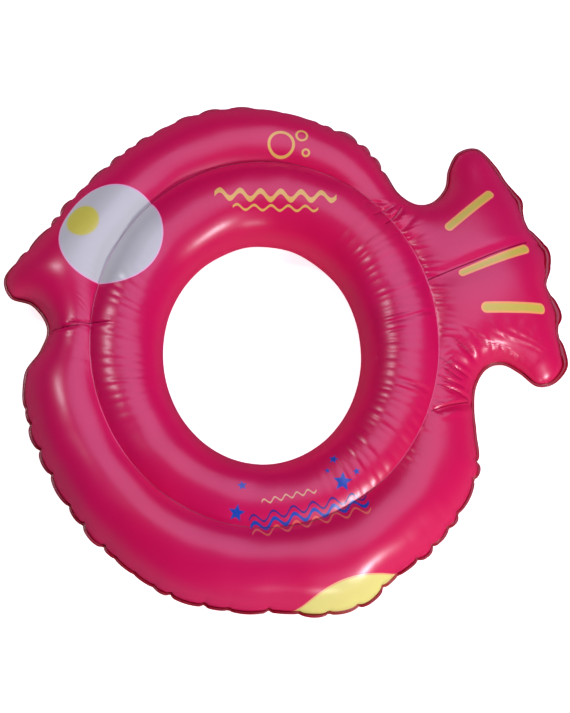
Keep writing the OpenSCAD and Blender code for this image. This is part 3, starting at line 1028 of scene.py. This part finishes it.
def collar(valve):
    """The soft sleeve between seat and stem, drawn fixed; the real one rolls up as the stem is pulled out.
    """
    down = np.linspace(0, 1, 15)
    z = COLLAR_TOP + (COLLAR_END - COLLAR_TOP) * down
    top = COLLAR_OUT - 0.1
    r = top + (COLLAR_FOOT - top) * smooth(0, 1, down) + 0.35 * np.sin(np.pi * down)
    outer = np.stack([r, z], 1)
    profile = np.concatenate([outer[::-1], outer - [COLLAR_WALL, 0]])
    return lathed(valve["name"] + "_collar", valve, lathe_points(profile, TURNED_SIDES))


def stem(valve):
    """The mouth tube, with a bead that stops it and two grip ridges."""
    return lathed(valve["name"] + "_stem", valve, lathe_points(rounded(STEM_CORNERS), TURNED_SIDES))


def plug(valve):
    """The tapered plug, its head with a shallow dish, and the fingernail tab."""
    rings = lathe_points(np.array(PLUG_PROFILE), PLUG_SIDES)
    loop = len(PLUG_PROFILE)
    points = np.concatenate([rings.reshape(-1, 3), [[0, 0, PLUG_TIP], [0, 0, PLUG_DISH]]])
    faces = list(grid_faces(PLUG_SIDES, loop, close_columns=False))
    tip = PLUG_SIDES * loop
    starts = list(range(0, tip, loop))
    for a, b in zip(starts, starts[1:] + starts[:1]):
        faces += [[tip, b, a], [tip + 1, a + loop - 1, b + loop - 1]]
    body = mesh_object(valve["name"] + "_plug", from_valve(valve, points), faces)
    return body, swept(valve["name"] + "_tab", valve, TAB_ROWS)


def swept(name, valve, rows):
    """A flat band with rounded edges along a path; a row gives its x, z, width and thickness."""
    rows = np.array(rows, float)
    path = rows[:, :2]
    ahead = unit(np.gradient(path, axis=0))
    normal = np.stack([-ahead[:, 1], ahead[:, 0]], 1)
    angle = np.arange(BAND_SIDES) * 2 * np.pi / BAND_SIDES
    across = np.sign(np.cos(angle)) * np.abs(np.cos(angle))**0.45
    through = np.sign(np.sin(angle)) * np.abs(np.sin(angle))**0.55
    rings = []
    for place, n, wide, thick in zip(path, normal, rows[:, 2], rows[:, 3]):
        flat = place + n * through[:, None] * thick / 2
        rings.append(np.stack([flat[:, 0], across * wide / 2, flat[:, 1]], 1))
    points = np.concatenate(rings)
    faces = list(grid_faces(len(path), BAND_SIDES, close_rows=False))
    side = np.arange(BAND_SIDES)
    faces += [side, (len(path) - 1) * BAND_SIDES + side[::-1]]
    return mesh_object(name, from_valve(valve, points), faces)


def tether(valve):
    """The strap from the stem, round a tight bend at the plug's hinge, and back to the plug's head."""
    turn = ellipse(np.array([HINGE_X, STRAP_Z + STRAP_BEND]), STRAP_BEND, np.linspace(-90, 90, 13))
    there = [(x, STRAP_Z) for x in np.linspace(5.9, 12.2, 8)]
    back = [(x, STRAP_Z + 2 * STRAP_BEND) for x in np.linspace(12.2, 4.6, 10)]
    path = np.concatenate([there, turn, back])
    widths = 3.6 + 1.6 * np.linspace(-1, 1, len(path))**2
    rows = np.column_stack([path, widths, np.full(len(path), STRAP_THICK)])
    return swept(valve["name"] + "_tether", valve, rows)


def crisp_rim(mesh, valve):
    """Marks the edges of a valve's hole as sharp, so that the film round it keeps its own shading."""
    points = np.empty(len(mesh.vertices) * 3)
    mesh.vertices.foreach_get("co", points)
    points = (points.reshape(-1, 3) - valve["p"]) / MM
    height = points @ valve["turn"][:, 2]
    radius = np.linalg.norm(points - height[:, None] * valve["turn"][:, 2], axis=1)
    on_rim = (np.abs(radius - HOLE_CUT) < 0.1) & (np.abs(height) < FILM_REACH)
    ends = np.empty(len(mesh.edges) * 2, int)
    mesh.edges.foreach_get("vertices", ends)
    mesh.edges.foreach_set("use_edge_sharp", on_rim[ends.reshape(-1, 2)].all(1).tolist())


def pierced(film, valves):
    """Cuts a round hole in the back film for each seat."""
    radii = [CUTTER_BORE, HOLE_CUT, HOLE_CUT, CUTTER_BORE]
    profile = np.column_stack([radii, FILM_REACH * np.array([-1, -1, 1, 1])])
    for valve in valves:
        cutter = lathed("cutter", valve, lathe_points(profile, TURNED_SIDES))
        cut = film.modifiers.new("hole", "BOOLEAN")
        cut.operation = "DIFFERENCE"
        cut.solver = "MANIFOLD"
        cut.object = cutter
        depsgraph = bpy.context.evaluated_depsgraph_get()
        mesh = bpy.data.meshes.new_from_object(film.evaluated_get(depsgraph), depsgraph=depsgraph)
        film.modifiers.clear()
        film.data = mesh
        bpy.data.objects.remove(cutter)
        crisp_rim(mesh, valve)


def valve_pieces(valve, film, soft, clear):
    """All visible pieces of one valve; all but collar and tether ride on their bodies."""
    name = valve["name"]
    seat_piece, collar_piece = seat(valve, film), collar(valve)
    stem_piece, tether_piece = stem(valve), tether(valve)
    plug_piece, tab_piece = plug(valve)
    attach(seat_piece, "ring")
    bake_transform(collar_piece)
    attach(stem_piece, name + "_stem")
    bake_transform(tether_piece)
    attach(plug_piece, name + "_plug")
    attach(tab_piece, name + "_plug")
    for piece, node, slot in (
        (seat_piece, "_valve_seat", "valve_pvc"), (collar_piece, "_valve_collar", "valve_pvc"),
        (stem_piece, "_valve_stem", "valve_pvc"), (tether_piece, "_valve_strap", "valve_pvc"),
        (plug_piece, "_valve_plug", "plug_pvc"),
    ):
        coat(piece, clear if slot == "plug_pvc" else soft)
        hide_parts(name + node)
    coat(tab_piece, clear)


# ---- Stage ----

def soft_box(name, direction, far, size, power, tint):
    """A rectangular lamp far metres from the ring's middle, turned towards it."""
    lamp = bpy.data.lights.new(name, "AREA")
    lamp.shape = "RECTANGLE"
    lamp.size, lamp.size_y = size
    lamp.energy = power
    lamp.color = tint
    obj = bpy.data.objects.new(name, lamp)
    away = Vector(direction).normalized()
    turn = away.to_track_quat("Z", "Y").to_matrix()
    obj.matrix_world = Matrix.Translation(away * far + Vector((0, 0, WELD_Z * MM))) @ turn.to_4x4()
    obj.visible_camera = False
    bpy.context.scene.collection.objects.link(obj)


def studio():
    """Pale floor, soft lamps and the camera."""
    scene = bpy.context.scene
    corners = np.array([[-1, -1, 0], [1, -1, 0], [1, 1, 0], [-1, 1, 0]]) * FLOOR_HALF
    floor = mesh_object("floor", corners / MM, [[0, 1, 2, 3]])
    shader = Shader("floor_paper")
    shader.set(Base_Color=FLOOR_WHITE, Roughness=0.9, Specular_IOR_Level=0.1)
    shader.set(Emission_Color=(1, 1, 1, 1), Emission_Strength=FLOOR_GLOW)
    floor.data.materials.append(shader.material)
    floor.visible_glossy = False

    for lamp in LAMPS:
        soft_box(*lamp)
    world = bpy.data.worlds.new("room")
    world.use_nodes = True
    sky = world.node_tree.nodes["Background"]
    sky.inputs["Color"].default_value = ROOM_GREY
    scene.world = world
    scene.view_settings.view_transform = "Standard"

    camera = bpy.data.cameras.new("camera")
    camera.lens = CAMERA_LENS
    camera.sensor_width = CAMERA_SENSOR
    obj = bpy.data.objects.new("camera", camera)
    back = Vector(CAMERA_BACK).normalized()
    right = Vector((0, 1, 0)).cross(back).normalized()
    turn = Matrix((right, back.cross(right), back)).transposed()
    place = Vector(CAMERA_TARGET) * MM + back * CAMERA_FAR
    obj.matrix_world = Matrix.Translation(place) @ turn.to_4x4()
    scene.collection.objects.link(obj)
    scene.camera = obj


def main():
    rng = np.random.default_rng(SEED)
    valves = valve_frames()
    shape = smooth_shape()
    puckers = weld_puckers(shape, rng)
    front = film_sheet("front_film", film_middle(shape, puckers, rng), 1)
    back = film_sheet("back_film", rested(film_middle(shape, puckers, rng, valves)), -1)
    under = BVHTree.FromObject(back, bpy.context.evaluated_depsgraph_get())
    pierced(back, valves)
    coat(front, film_material("printed_film", True))
    coat(back, film_material("plain_film", False))
    for obj, node, slot in ((front, "front_sheet", "front_film"), (back, "back_sheet", "back_film")):
        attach(obj, "ring")
        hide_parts(node)
    coat(frame["nodes"]["divider_web"], film_material("divider", False))
    soft = soft_pvc("valve_pvc", VALVE_PINK, 0.34)
    clear = soft_pvc("plug_pvc", PLUG_PINK, 0.3)
    flap = soft_pvc("flap_pvc", FLAP_PALE, 0.25)
    for valve in valves:
        valve_pieces(valve, under, soft, clear)
        coat(frame["nodes"][valve["name"] + "_valve_check_flap"], flap)
    studio()


main()
